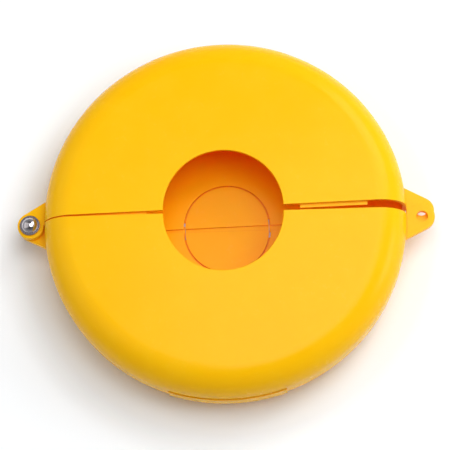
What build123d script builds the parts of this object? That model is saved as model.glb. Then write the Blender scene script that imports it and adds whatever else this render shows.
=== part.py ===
from build123d import *
import math
import os

# Gate-valve handwheel lockout: two half-round hollow shells that swing together around a
# handwheel on one rivet, and take a padlock through the pair of ears on the far side.
# Millimetres. +Z is the axis of the disc, out of the stem opening; z = 0 is the closed face.
# The lower shell lies in -Y. The hinge is at -X and the padlock ears are at +X.

# driving dimensions
outer_radius = 134.0        # outside of the side wall
height = 57.0               # closed face to stem face
wall = 2.5                  # moulded wall, everywhere
edge_rounding = 22.0        # outside radius where both faces turn into the side wall
stem_hole_radius = 44.0     # open hole in the stem face
knockout_radius = 33.0      # break-out disc in the closed face, out to the far side of its groove
ear_axis = 145.5            # disc axis to rivet, and disc axis to padlock hole
ajar_angle = 1.22           # how far the shells stand open at rest, degrees
seam_gap = 0.6              # between the closed shells

# ears
ear_radius = 9.9
ear_inset = 0.5             # from an ear's hole back to the middle of its round end
ear_thickness = 5.0
ear_gap = 0.3               # between the two ears of a pair
front_root_half_width = 18.5  # where a front ear's straight edge meets the side wall
rear_root_half_width = 17.0
shoulder_reach = 6.0        # how far a padlock ear carries on past the seam, beside its round end
shoulder_clearance = 0.3    # from that part to the other shell's wall
padlock_hole_radius = 4.3
padlock_drop = 1.3          # padlock hole and its ears' round ends, below the seam

# rivet and washers
shank_radius = 3.2
shank_clearance = 0.08
washer_radius = 7.5
washer_thickness = 1.2
washer_play = 0.1
head_radius = 5.8
head_rise = 3.8
tail_radius = 5.4
tail_rise = 2.2

# lips along the seam of the stem face
lip_start = 56.0            # distance from the disc axis
lip_end = 105.0
lip_reach = 2.4             # how far a lip stands past its own edge
lip_thickness = 1.9
lip_root = 5.0              # how far it runs under its own face
slide_gap = 0.3             # between a lip and the face that slides over it

# raised panel on each side wall
panel_rise = 1.0
panel_half_angle = 18.6
panel_low = 15.0
panel_high = 33.0

# lapped seam of the closed face: a thin tongue on one side, the other side cut back for it
tongue_reach = 5.0
tongue_thickness = 1.1
tongue_end = 105.0          # distance from the disc axis

# break-out disc
groove_width = 1.3
skin = 0.8                  # web left under the groove

edge_break = 0.5            # small moulded roundings

ear_plane = height / 2
front_ear_low = ear_plane + ear_gap / 2
front_ear_top = front_ear_low + ear_thickness
rear_ear_top = ear_plane - ear_gap / 2
rear_ear_low = rear_ear_top - ear_thickness
rivet_hole_radius = shank_radius + shank_clearance
disc_radius = knockout_radius - groove_width
lap_reach = tongue_reach + slide_gap
lap_room = (-lap_reach, lap_reach, -1, tongue_thickness + slide_gap)
big = 400.0

UP = (Align.CENTER, Align.CENTER, Align.MIN)


def drum(radius, low, high, rounding):
    """A solid disc with both rims rounded."""
    body = Pos(0, 0, low) * Cylinder(radius, high - low, align=UP)
    rims = body.edges().filter_by(GeomType.CIRCLE)
    return fillet(rims, rounding)


def block(x0, x1, y0, y1, z0, z1):
    """A box given by its limits."""
    box = Box(x1 - x0, y1 - y0, z1 - z0)
    return Pos((x0 + x1) / 2, (y0 + y1) / 2, (z0 + z1) / 2) * box


def post(x, y, radius, z0, z1):
    """An upright cylinder."""
    return Pos(x, y, z0) * Cylinder(radius, z1 - z0, align=UP)


def wedge(half_angle):
    """A sector about +Y, as wide as the raised panel, between the panel's two levels."""
    reach = 2 * outer_radius
    half_width = reach * math.tan(math.radians(half_angle))
    outline = Polyline((0, 0), (half_width, reach), (-half_width, reach), (0, 0))
    return extrude(Pos(0, 0, panel_low) * make_face(outline), panel_high - panel_low)


def hollow_disc():
    """Both half shells as one piece, with the raised panels and the two round openings."""
    outside = drum(outer_radius, 0, height, edge_rounding)
    proud = drum(
        outer_radius + panel_rise, -panel_rise, height + panel_rise, edge_rounding + panel_rise
    )
    panel = proud & wedge(panel_half_angle)
    outside += panel
    outside += Rot(0, 0, 180) * panel
    cavity = drum(outer_radius - wall, wall, height - wall, edge_rounding - wall)
    disc = outside - cavity
    disc -= post(0, 0, stem_hole_radius, height / 2, height + 1)
    disc -= post(0, 0, knockout_radius, -1, height / 2)
    rim = [
        edge
        for edge in disc.edges().filter_by(GeomType.CIRCLE)
        if abs(edge.radius - stem_hole_radius) < 0.01
    ]
    return fillet(rim, edge_break)


def ear(low, root_half_width, offset=0.0):
    """The ear on the +X side of a shell in +Y: a round end, offset from the seam, and one flank."""
    root_angle = math.asin(root_half_width / outer_radius)
    root = (outer_radius * math.cos(root_angle), root_half_width)
    middle = ear_axis - ear_inset
    reach = math.dist(root, (middle, offset))
    # point where the flank from the root touches the round end
    lean = math.atan2(root[1] - offset, root[0] - middle) - math.acos(ear_radius / reach)
    touch = (middle + ear_radius * math.cos(lean), offset + ear_radius * math.sin(lean))
    inner = outer_radius - wall / 2
    flank = Polyline(
        (inner, seam_gap / 2),
        (middle, seam_gap / 2),
        touch,
        root,
        (inner * math.cos(root_angle), inner * math.sin(root_angle)),
        (inner, seam_gap / 2),
    )
    plate = extrude(Pos(0, 0, low) * make_face(flank), ear_thickness)
    plate -= post(0, 0, inner, low - 1, low + ear_thickness + 1)
    plate += post(middle, offset, ear_radius, low, low + ear_thickness)
    outline = [
        edge
        for edge in plate.edges().filter_by(Plane.XY)
        if edge.center().X > outer_radius + 0.5
    ]
    return fillet(outline, edge_break)


def padlock_ear(low, root_half_width, offset):
    """An ear that also carries on past the seam, between its round end and the other wall."""
    shoulder = block(
        outer_radius + shoulder_clearance,
        ear_axis - ear_inset,
        -shoulder_reach,
        seam_gap,
        low,
        low + ear_thickness,
    )
    return ear(low, root_half_width, offset) + shoulder


def lip():
    """The lip under the stem face of the upper shell, on the padlock side."""
    top = height - wall
    low = top - slide_gap - lip_thickness
    root = block(lip_start, lip_end, seam_gap / 2, lip_root, low, top + wall / 2)
    tongue = block(lip_start, lip_end, -lip_reach, lip_root, low, top - slide_gap)
    return root + tongue


def tongue():
    """The thin half of the lapped seam, on the +X side of a shell in +Y, out from the disc."""
    start = disc_radius + slide_gap
    return block(start, tongue_end, -tongue_reach, tongue_reach, 0, tongue_thickness)


def tongue_room():
    """What the -X side of a shell in +Y is cut back by, for the other shell's tongue."""
    end = -tongue_end - slide_gap
    return block(end, -knockout_radius / 2, *lap_room)


def half_shell():
    """What both shells share: a closed half shell in +Y, without its ears."""
    shell = hollow_disc() & block(-big, big, seam_gap / 2, big, -big, big)
    return shell + lip() - tongue_room() + tongue()


def upper_shell():
    """Rivet ear in front at -X, padlock ear behind at +X."""
    shell = half_shell() + padlock_ear(rear_ear_low, rear_root_half_width, -padlock_drop)
    shell += mirror(ear(front_ear_low, front_root_half_width), Plane.YZ)
    shell -= post(
        ear_axis, -padlock_drop, padlock_hole_radius, rear_ear_low - 1, rear_ear_top + 1
    )
    shell -= post(-ear_axis, 0, rivet_hole_radius, front_ear_low - 1, front_ear_top + 1)
    return shell


def lower_shell():
    """Turned half way round: padlock ear in front at +X, rivet ear behind at -X."""
    shell = half_shell() + ear(rear_ear_low, rear_root_half_width)
    lock_ear = padlock_ear(front_ear_low, front_root_half_width, padlock_drop)
    shell += mirror(lock_ear, Plane.YZ)
    shell -= post(ear_axis, 0, rivet_hole_radius, rear_ear_low - 1, rear_ear_top + 1)
    shell -= post(
        -ear_axis, padlock_drop, padlock_hole_radius, front_ear_low - 1, front_ear_top + 1
    )
    return Rot(0, 0, 180) * shell


def half_knockout():
    """Half of the break-out disc, with a skin under the groove, cut back for the shells' tongues."""
    disc = post(0, 0, disc_radius, 0, wall)
    web = post(0, 0, knockout_radius, 0, skin) - block(-big, big, *lap_room)
    return (disc + web) & block(-big, big, seam_gap / 2, big, -big, big)


def upper_knockout():
    """The upper half carries a thin tongue on its outer side."""
    strip = post(0, 0, disc_radius, 0, tongue_thickness)
    return half_knockout() + (strip & block(-big, big, -tongue_reach, tongue_reach, -1, wall))


def lower_knockout():
    """The lower half is cut back so that the tongue slides in behind it."""
    return Rot(0, 0, 180) * half_knockout() - block(-big, big, *lap_room)


def dome(radius, rise):
    """A spherical cap on z = 0, with a short upright rim."""
    rim = rise * 0.2
    cap_rise = rise - rim
    sphere_radius = (radius**2 + cap_rise**2) / (2 * cap_rise)
    ball = Pos(0, 0, rise - sphere_radius) * Sphere(sphere_radius)
    return ball & post(0, 0, radius, 0, rise + 1)


def washer(z0):
    """A flat washer on the rivet."""
    ring = post(-ear_axis, 0, washer_radius, z0, z0 + washer_thickness)
    ring = fillet(ring.edges().filter_by(GeomType.CIRCLE), 0.25)
    return ring - post(-ear_axis, 0, rivet_hole_radius, z0 - 1, z0 + washer_thickness + 1)


front_washer_low = front_ear_top + washer_play
rear_washer_low = rear_ear_low - washer_thickness
head_base = front_washer_low + washer_thickness


def hinge_rivet():
    """One rivet through both hinge ears: domed head in front, formed tail behind."""
    rivet = post(-ear_axis, 0, shank_radius, rear_washer_low - 0.5, head_base + 0.5)
    rivet += Pos(-ear_axis, 0, head_base) * dome(head_radius, head_rise)
    rivet += Pos(-ear_axis, 0, rear_washer_low) * Rot(180, 0, 0) * dome(tail_radius, tail_rise)
    return rivet


def ajar(piece):
    """Swing a closed upper piece open about the rivet, to its place at rest."""
    return piece.rotate(Axis((-ear_axis, 0, 0), (0, 0, 1)), ajar_angle)


nodes = {
    "upper_shell": ajar(upper_shell()),
    "lower_shell": lower_shell(),
    "upper_knockout": ajar(upper_knockout()),
    "lower_knockout": lower_knockout(),
    "hinge_rivet": hinge_rivet(),
    "front_washer": washer(front_washer_low),
    "rear_washer": washer(rear_washer_low),
}

os.makedirs("parts", exist_ok=True)
for name, shape in nodes.items():
    export_step(shape, f"parts/{name}.step")
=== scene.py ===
import math

import bpy
from mathutils import Matrix, Vector


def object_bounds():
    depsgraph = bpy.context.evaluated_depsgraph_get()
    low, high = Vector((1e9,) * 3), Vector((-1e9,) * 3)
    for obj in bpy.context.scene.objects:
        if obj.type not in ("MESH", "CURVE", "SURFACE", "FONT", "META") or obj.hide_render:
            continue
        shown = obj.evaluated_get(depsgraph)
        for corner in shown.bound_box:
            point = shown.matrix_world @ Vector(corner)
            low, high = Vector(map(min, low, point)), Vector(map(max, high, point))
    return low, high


# Valve handwheel lockout: two yellow half shells on one rivet, seen almost along the disc axis.
# Metres, in the CAD frame: +Z out of the stem opening, hinge at -X, padlock ears at +X.

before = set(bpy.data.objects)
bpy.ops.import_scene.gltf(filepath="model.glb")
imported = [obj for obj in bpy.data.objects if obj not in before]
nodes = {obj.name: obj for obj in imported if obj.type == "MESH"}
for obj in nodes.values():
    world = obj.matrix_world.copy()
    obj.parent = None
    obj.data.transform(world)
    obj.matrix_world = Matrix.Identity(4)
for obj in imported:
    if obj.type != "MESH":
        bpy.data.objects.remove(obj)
cad_low, cad_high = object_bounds()

# camera
VIEW_TILT = math.radians(16.0)       # off the disc axis, towards the lower shell
VIEW_TURN = math.radians(10.5)       # the tilt's direction, turned towards the padlock ears
VIEW_ROLL = math.radians(0.85)
VIEW_DISTANCE = 1.25
LENS_MM = 137.4
SENSOR_MM = 36.0
AIM_RIGHT = 0.0014                   # the picture's centre, from the middle of the stem face
AIM_DOWN = 0.0099

# light
TENT = (0.35, 0.85, 0.36, 0.02)      # a direction's rise, from and to, and its brightness there
LIGHTS = {                           # place, size, watts, colour
    "top": ((0.26, 0.06, 1.25), 0.8, 9.0, (1.0, 1.0, 1.0)),
    "key": ((0.80, 0.75, 1.00), 0.8, 8.5, (1.0, 1.0, 1.0)),
    "side": ((1.25, -0.10, 0.45), 0.5, 3.2, (1.0, 1.0, 1.0)),
    "fill": ((-0.95, 0.10, 1.00), 1.4, 4.6, (1.0, 0.97, 0.94)),
}
LIGHTS_AIM = (0.0, 0.0, 0.03)
BOUNCES = 64                         # the inside gets its deep orange from light bounced many times

# floor
FLOOR_SIZE = 8.0
FLOOR_GAP = 0.0001                   # keeps the floor off the closed face, which lies flat on it
FLOOR_GLOW = 0.16                    # away from the object; none of it shines up from underneath
FLOOR_GLOW_FULL = 1.15               # where the glow is full, in the object's own half widths
FLOOR_COLOURS = ((0.90, 0.93, 0.96), (0.92, 0.95, 0.98))

# surfaces
YELLOW = (                           # base, deep, pale, painted shade for grooves and seams
    (0.998, 0.535, 0.003),
    (0.996, 0.51, 0.002),
    (0.998, 0.60, 0.02),
    # painted shade: the redder, darker colour mixed into grooves and seams where ambient occlusion
    # finds them
    (0.85, 0.22, 0.004),
)
RIVET_METAL = ((0.60, 0.57, 0.60), (0.48, 0.45, 0.49), 0.16, 0.26)   # base, dark, roughness from, to
WASHER_METAL = ((0.28, 0.25, 0.27), (0.20, 0.18, 0.20), 0.2, 0.32)
PLASTIC_INDEX = 1.2                  # below the real 1.49: grazing views mirror less of the floor
FLAT_EDGE = 0.995                    # cosine between a normal and its rounded one, on plain surface
SHARP_EDGE = 0.90                    # and on a sharp edge
SURFACE_SAMPLES = 6                  # for the rounded normals and for the grooves


def pose_camera():
    """The photograph's viewing angle."""
    face = Vector((0, 0, cad_high.z))
    sin_tilt = math.sin(VIEW_TILT)
    forward = Vector(
        (-sin_tilt * math.sin(VIEW_TURN), sin_tilt * math.cos(VIEW_TURN), -math.cos(VIEW_TILT))
    )
    up = Vector((0, 1, 0))
    up = (up - up.dot(forward) * forward).normalized()
    right = forward.cross(up)
    rolled_right = math.cos(VIEW_ROLL) * right - math.sin(VIEW_ROLL) * up
    rolled_up = math.sin(VIEW_ROLL) * right + math.cos(VIEW_ROLL) * up
    target = face + AIM_RIGHT * rolled_right - AIM_DOWN * rolled_up
    data = bpy.data.cameras.new("camera")
    data.sensor_width = SENSOR_MM
    data.lens = LENS_MM
    camera = bpy.data.objects.new("camera", data)
    bpy.context.scene.collection.objects.link(camera)
    turn = Matrix((rolled_right, rolled_up, -forward)).transposed().to_4x4()
    camera.matrix_world = Matrix.Translation(target - VIEW_DISTANCE * forward) @ turn
    bpy.context.scene.camera = camera


def area_light(name, place, aim, size, power, colour):
    """A soft square light that looks at a point."""
    data = bpy.data.lights.new(name, "AREA")
    data.shape = "SQUARE"
    data.size = size
    data.energy = power
    data.color = colour
    light = bpy.data.objects.new(name, data)
    light.location = place
    light.rotation_mode = "QUATERNION"
    light.rotation_quaternion = (Vector(aim) - Vector(place)).to_track_quat("-Z", "Y")
    bpy.context.scene.collection.objects.link(light)


def set_ramp(node, limits):
    """A Map Range node's limits: from low, from high, to low, to high."""
    for socket, number in zip(("From Min", "From Max", "To Min", "To Max"), limits):
        node.inputs[socket].default_value = number


def world_light():
    """A white tent with an open, darker top: dim overhead, bright towards the horizon."""
    world = bpy.data.worlds.new("studio")
    world.use_nodes = True
    tree = world.node_tree
    background = tree.nodes["Background"]
    background.inputs["Color"].default_value = (1.0, 1.0, 1.0, 1.0)
    place = tree.nodes.new("ShaderNodeTexCoord")
    split = tree.nodes.new("ShaderNodeSeparateXYZ")
    ramp = tree.nodes.new("ShaderNodeMapRange")
    tree.links.new(place.outputs["Generated"], split.inputs["Vector"])
    tree.links.new(split.outputs["Z"], ramp.inputs["Value"])
    set_ramp(ramp, TENT)
    tree.links.new(ramp.outputs["Result"], background.inputs["Strength"])
    bpy.context.scene.world = world


def studio():
    """Soft lights from the upper right and from the left, over a pale floor lit from within."""
    world_light()
    for name, (place, size, power, colour) in LIGHTS.items():
        area_light(name, place, LIGHTS_AIM, size, power, colour)
    bpy.context.scene.cycles.max_bounces = BOUNCES
    bpy.context.scene.cycles.diffuse_bounces = BOUNCES

    bpy.ops.mesh.primitive_plane_add(size=FLOOR_SIZE, location=(0, 0, cad_low.z - FLOOR_GAP))
    floor = bpy.context.object
    floor.name = "floor"
    floor.data.materials.append(floor_material())


class Nodes:
    """Shorthand for building one node material."""

    def __init__(self, name):
        self.material = bpy.data.materials.new(name)
        self.material.use_nodes = True
        self.tree = self.material.node_tree
        self.tree.nodes.clear()
        output = self.tree.nodes.new("ShaderNodeOutputMaterial")
        self.shader = self.tree.nodes.new("ShaderNodeBsdfPrincipled")
        self.link(self.shader.outputs["BSDF"], output.inputs["Surface"])
        self.place = self.tree.nodes.new("ShaderNodeTexCoord").outputs["Object"]

    def link(self, source, target):
        self.tree.links.new(source, target)

    def set(self, **values):
        """Uniform values, straight on the shader's own sockets."""
        for name, value in values.items():
            self.shader.inputs[name.replace("_", " ")].default_value = value

    def noise(self, scale, detail, roughness, stretch=None):
        """Noise in the piece's own frame, with a stretch along each axis if asked."""
        node = self.tree.nodes.new("ShaderNodeTexNoise")
        node.inputs["Scale"].default_value = scale
        node.inputs["Detail"].default_value = detail
        node.inputs["Roughness"].default_value = roughness
        if stretch is None:
            self.link(self.place, node.inputs["Vector"])
        else:
            mapping = self.tree.nodes.new("ShaderNodeMapping")
            mapping.inputs["Scale"].default_value = stretch
            self.link(self.place, mapping.inputs["Vector"])
            self.link(mapping.outputs["Vector"], node.inputs["Vector"])
        return node.outputs["Fac"]

    def span(self, value, low, high, to_low, to_high):
        """Carries low..high to to_low..to_high, clamped."""
        node = self.tree.nodes.new("ShaderNodeMapRange")
        set_ramp(node, (low, high, to_low, to_high))
        self.link(value, node.inputs["Value"])
        return node.outputs["Result"]

    def math(self, operation, first, second):
        """One operation on two values, each a number or another node's output."""
        node = self.tree.nodes.new("ShaderNodeMath")
        node.operation = operation
        for socket, value in zip(node.inputs, (first, second)):
            if isinstance(value, (int, float)):
                socket.default_value = value
            else:
                self.link(value, socket)
        return node.outputs["Value"]

    def mix(self, share, first, second):
        """A colour between two, each a colour or another node's output."""
        node = self.tree.nodes.new("ShaderNodeMix")
        node.data_type = "RGBA"
        self.link(share, node.inputs["Factor"])
        first_colour, second_colour = node.inputs[6:8]
        for socket, value in ((first_colour, first), (second_colour, second)):
            if isinstance(value, tuple):
                socket.default_value = (*value, 1.0)
            else:
                self.link(value, socket)
        mixed_colour = node.outputs[2]
        return mixed_colour

    def edges(self, radius):
        """1 on sharp outer and inner edges, 0 on plain surface."""
        bevel = self.tree.nodes.new("ShaderNodeBevel")
        bevel.samples = SURFACE_SAMPLES
        bevel.inputs["Radius"].default_value = radius
        geometry = self.tree.nodes.new("ShaderNodeNewGeometry")
        dot = self.tree.nodes.new("ShaderNodeVectorMath")
        dot.operation = "DOT_PRODUCT"
        self.link(bevel.outputs["Normal"], dot.inputs[0])
        self.link(geometry.outputs["Normal"], dot.inputs[1])
        return self.span(dot.outputs["Value"], FLAT_EDGE, SHARP_EDGE, 0.0, 1.0)

    def groove_shade_mask(self, reach):
        """Mask for painted shade: 0 on open surface, towards 1 in grooves and seams narrower than
        the reach.
        """
        occlusion = self.tree.nodes.new("ShaderNodeAmbientOcclusion")
        occlusion.samples = SURFACE_SAMPLES
        occlusion.inputs["Distance"].default_value = reach
        return self.math("SUBTRACT", 1.0, occlusion.outputs["AO"])

    def bump(self, layers):
        """Several heights, each (output, strength, distance in metres), one over the other."""
        normal = None
        for height, strength, distance in layers:
            node = self.tree.nodes.new("ShaderNodeBump")
            node.inputs["Strength"].default_value = strength
            node.inputs["Distance"].default_value = distance
            self.link(height, node.inputs["Height"])
            if normal is not None:
                self.link(normal, node.inputs["Normal"])
            normal = node.outputs["Normal"]
        self.link(normal, self.shader.inputs["Normal"])


def plastic(name, base, deep, pale, painted_groove_shade):
    """Moulded polypropylene: mould grain, slow flow marks, scuffed edges, and painted shade that
    turns grooves and seams redder and darker.
    """
    n = Nodes(name)
    n.set(Subsurface_Weight=0.08, Subsurface_Scale=0.003, IOR=PLASTIC_INDEX)
    n.shader.inputs["Subsurface Radius"].default_value = (1.0, 0.5, 0.1)
    flow = n.noise(9.0, 3.0, 0.55, stretch=(1.0, 1.6, 1.0))
    cloud = n.noise(42.0, 4.0, 0.6)
    grain = n.noise(1500.0, 2.0, 0.6)
    scuff = n.noise(230.0, 6.0, 0.7)
    colour = n.mix(n.span(flow, 0.35, 0.65, 0.0, 0.55), base, deep)
    colour = n.mix(n.span(cloud, 0.45, 0.75, 0.0, 0.18), colour, pale)
    worn = n.math("MULTIPLY", n.edges(0.0006), n.span(scuff, 0.42, 0.62, 0.1, 0.45))
    colour = n.mix(worn, colour, pale)
    # painted shade: grooves and seams narrower than 2.5 mm take the redder, darker colour by ambient
    # occlusion
    colour = n.mix(n.span(n.groove_shade_mask(0.0025), 0.15, 0.75, 0.0, 0.85), colour, painted_groove_shade)
    n.link(colour, n.shader.inputs["Base Color"])
    rough = n.span(cloud, 0.3, 0.7, 0.21, 0.27)
    rough = n.math("ADD", rough, n.span(scuff, 0.55, 0.75, 0.0, 0.08))
    rough = n.math("ADD", rough, n.math("MULTIPLY", worn, 0.15))
    n.link(rough, n.shader.inputs["Roughness"])
    n.bump([(grain, 0.10, 0.00003), (cloud, 0.10, 0.0002), (flow, 0.10, 0.0012)])
    return n.material


def metal(name, base, dark, rough_low, rough_high):
    """Plated metal: uneven patches, small pits, paler and slightly duller on its edges."""
    n = Nodes(name)
    n.set(Metallic=1.0)
    patches = n.noise(420.0, 4.0, 0.6)
    pits = n.noise(2600.0, 2.0, 0.5)
    worn = n.math("MULTIPLY", n.edges(0.0003), n.span(patches, 0.4, 0.6, 0.2, 0.8))
    colour = n.mix(n.span(patches, 0.4, 0.7, 0.0, 0.6), base, dark)
    colour = n.mix(worn, colour, tuple(min(1.0, 1.15 * c) for c in base))
    n.link(colour, n.shader.inputs["Base Color"])
    rough = n.span(patches, 0.35, 0.7, rough_low, rough_high)
    n.link(n.math("ADD", rough, n.math("MULTIPLY", worn, 0.1)), n.shader.inputs["Roughness"])
    n.bump([(pits, 0.05, 0.00002), (patches, 0.06, 0.00005)])
    return n.material


def floor_material():
    """Pale and uneven, glowing a little outside the object's own circle."""
    n = Nodes("pale_floor")
    n.set(Roughness=0.7, Emission_Color=(1.0, 1.0, 1.0, 1.0))
    away = n.tree.nodes.new("ShaderNodeVectorMath")
    away.operation = "LENGTH"
    n.link(n.place, away.inputs[0])
    edge = cad_high.x
    glow = n.span(away.outputs["Value"], edge, FLOOR_GLOW_FULL * edge, 0.0, FLOOR_GLOW)
    n.link(glow, n.shader.inputs["Emission Strength"])
    cloud = n.noise(3.0, 2.0, 0.5)
    colour = n.mix(n.span(cloud, 0.3, 0.7, 0.0, 1.0), *FLOOR_COLOURS)
    n.link(colour, n.shader.inputs["Base Color"])
    return n.material


def dress(names, material):
    """Gives CAD nodes one material."""
    for name in names:
        mesh = nodes[name].data
        mesh.materials.clear()
        mesh.materials.append(material)


pose_camera()
studio()
dress(["upper_shell", "lower_shell"], plastic("shell_plastic", *YELLOW))
dress(["upper_knockout", "lower_knockout"], plastic("knockout_plastic", *YELLOW))
dress(["hinge_rivet"], metal("rivet_metal", *RIVET_METAL))
dress(["front_washer", "rear_washer"], metal("washer_metal", *WASHER_METAL))
bpy.context.scene.view_settings.view_transform = "Standard"
